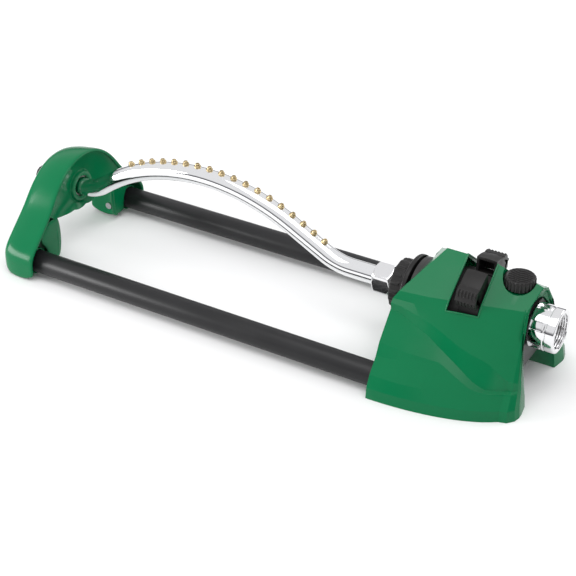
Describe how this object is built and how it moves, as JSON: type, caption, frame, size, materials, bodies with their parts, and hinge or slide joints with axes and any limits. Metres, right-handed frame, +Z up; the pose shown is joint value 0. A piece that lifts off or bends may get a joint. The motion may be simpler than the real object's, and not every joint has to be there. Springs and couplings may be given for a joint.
{
  "type": "oscillating sprinkler",
  "caption": "Lawn sprinkler with an arched spray tube that swings between a green end stand and a green drive housing on two black rails.",
  "frame": {"origin": "on the ground, midway along and across the sprinkler", "axes": "+X along the rails towards the hose inlet, +Y towards the left rail, +Z up"},
  "size_m": [0.476, 0.158, 0.106],
  "materials": {
    "green_shell": "glossy moulded ABS, fine flow lines, smooth",
    "rail_black": "satin black powder coat on drawn tube",
    "black_plastic": "black moulded plastic, lightly textured",
    "chrome_tube": "bright chrome plate, polished",
    "chrome_fitting": "bright chrome plate on turned brass",
    "brass_jet": "turned brass, slightly dulled",
    "gear_white": "natural acetal",
    "steel_pin": "ground stainless steel",
    "rubber_seal": "black moulded rubber"
  },
  "bodies": {
    "base_frame": {"housing_shell": "green_shell", "end_stand": "green_shell", "left_rail": "rail_black", "right_rail": "rail_black", "rail_plugs": "black_plastic", "rail_screws": "steel_pin", "bearing_bracket": "black_plastic", "bearing_bush": "gear_white", "gear_axles": "steel_pin", "case_cover": "black_plastic", "shaft_seal": "rubber_seal", "case_gasket": "rubber_seal", "gear_case": "black_plastic", "gear_plate": "gear_white", "nozzle_plate": "gear_white", "case_screws": "steel_pin", "inlet_pipe": "black_plastic", "valve_bonnet": "black_plastic", "knob_seal": "rubber_seal", "inlet_bracket": "black_plastic", "inlet_screws": "steel_pin", "toggle_spring": "steel_pin"},
    "spray_bar": {"spray_tube": "chrome_tube", "brass_nozzles": "brass_jet", "end_plug": "black_plastic", "end_plug_seal": "rubber_seal", "cleaning_pin": "steel_pin", "coupling_nut": "chrome_fitting", "compression_ring": "rubber_seal", "output_hub": "black_plastic", "hub_gear": "gear_white"},
    "second_stage": {"second_gear": "gear_white"},
    "first_stage": {"first_gear": "gear_white"},
    "turbine_rotor": {"turbine": "gear_white"},
    "trip_ring_body": {"trip_ring": "black_plastic"},
    "diverter": {"diverter_flap": "gear_white", "diverter_crank": "gear_white"},
    "near_range_tab": {"near_tab": "black_plastic"},
    "far_range_tab": {"far_tab": "black_plastic"},
    "flow_valve": {"valve_plug": "gear_white", "flow_knob": "black_plastic"},
    "swivel": {"hose_swivel": "chrome_fitting", "hose_washer": "rubber_seal", "inlet_filter": "gear_white"}
  },
  "joints": [
    {"name": "spray_swing", "type": "hinge", "parent": "base_frame", "child": "spray_bar", "pos_m": [0, 0, 0.0532], "axis": [1, 0, 0], "range_deg": [-60, 60]},
    {"name": "second_spin", "type": "hinge", "parent": "base_frame", "child": "second_stage", "pos_m": [0.135, 0, 0.0652], "axis": [1, 0, 0], "range_deg": [-182, 182]},
    {"name": "first_spin", "type": "hinge", "parent": "base_frame", "child": "first_stage", "pos_m": [0.142, 0.00969, 0.0592], "axis": [1, 0, 0], "range_deg": [-506, 506]},
    {"name": "turbine_spin", "type": "hinge", "parent": "base_frame", "child": "turbine_rotor", "pos_m": [0.155, 0, 0.0532], "axis": [1, 0, 0], "range_deg": [-1414, 1414]},
    {"name": "trip_rock", "type": "hinge", "parent": "base_frame", "child": "trip_ring_body", "pos_m": [0.17, 0, 0.0532], "axis": [1, 0, 0], "range_deg": [-5, 5], "deforming": ["toggle_spring"]},
    {"name": "diverter_flip", "type": "hinge", "parent": "base_frame", "child": "diverter", "pos_m": [0.18, 0, 0.0382], "axis": [1, 0, 0], "range_deg": [-17.6, 17.6]},
    {"name": "near_tab_set", "type": "hinge", "parent": "trip_ring_body", "child": "near_range_tab", "pos_m": [0.17, 0, 0.0532], "axis": [1, 0, 0], "range_deg": [-12, 2]},
    {"name": "far_tab_set", "type": "hinge", "parent": "trip_ring_body", "child": "far_range_tab", "pos_m": [0.17, 0, 0.0532], "axis": [1, 0, 0], "range_deg": [-18, 2]},
    {"name": "flow_turn", "type": "hinge", "parent": "base_frame", "child": "flow_valve", "pos_m": [0.203, 0, 0.085], "axis": [0, 0, 1], "range_deg": [0, 90]},
    {"name": "swivel_turn", "type": "hinge", "parent": "base_frame", "child": "swivel", "pos_m": [0.225, 0, 0.0532], "axis": [1, 0, 0], "continuous": true}
  ],
  "couplings": [
    {"joint": "second_spin", "follows": "spray_swing", "ratio": -3},
    {"joint": "first_spin", "follows": "spray_swing", "ratio": 8.4},
    {"joint": "turbine_spin", "follows": "spray_swing", "ratio": -23.52},
    {"joint": "diverter_flip", "follows": "trip_rock", "ratio": 3.5}
  ]
}
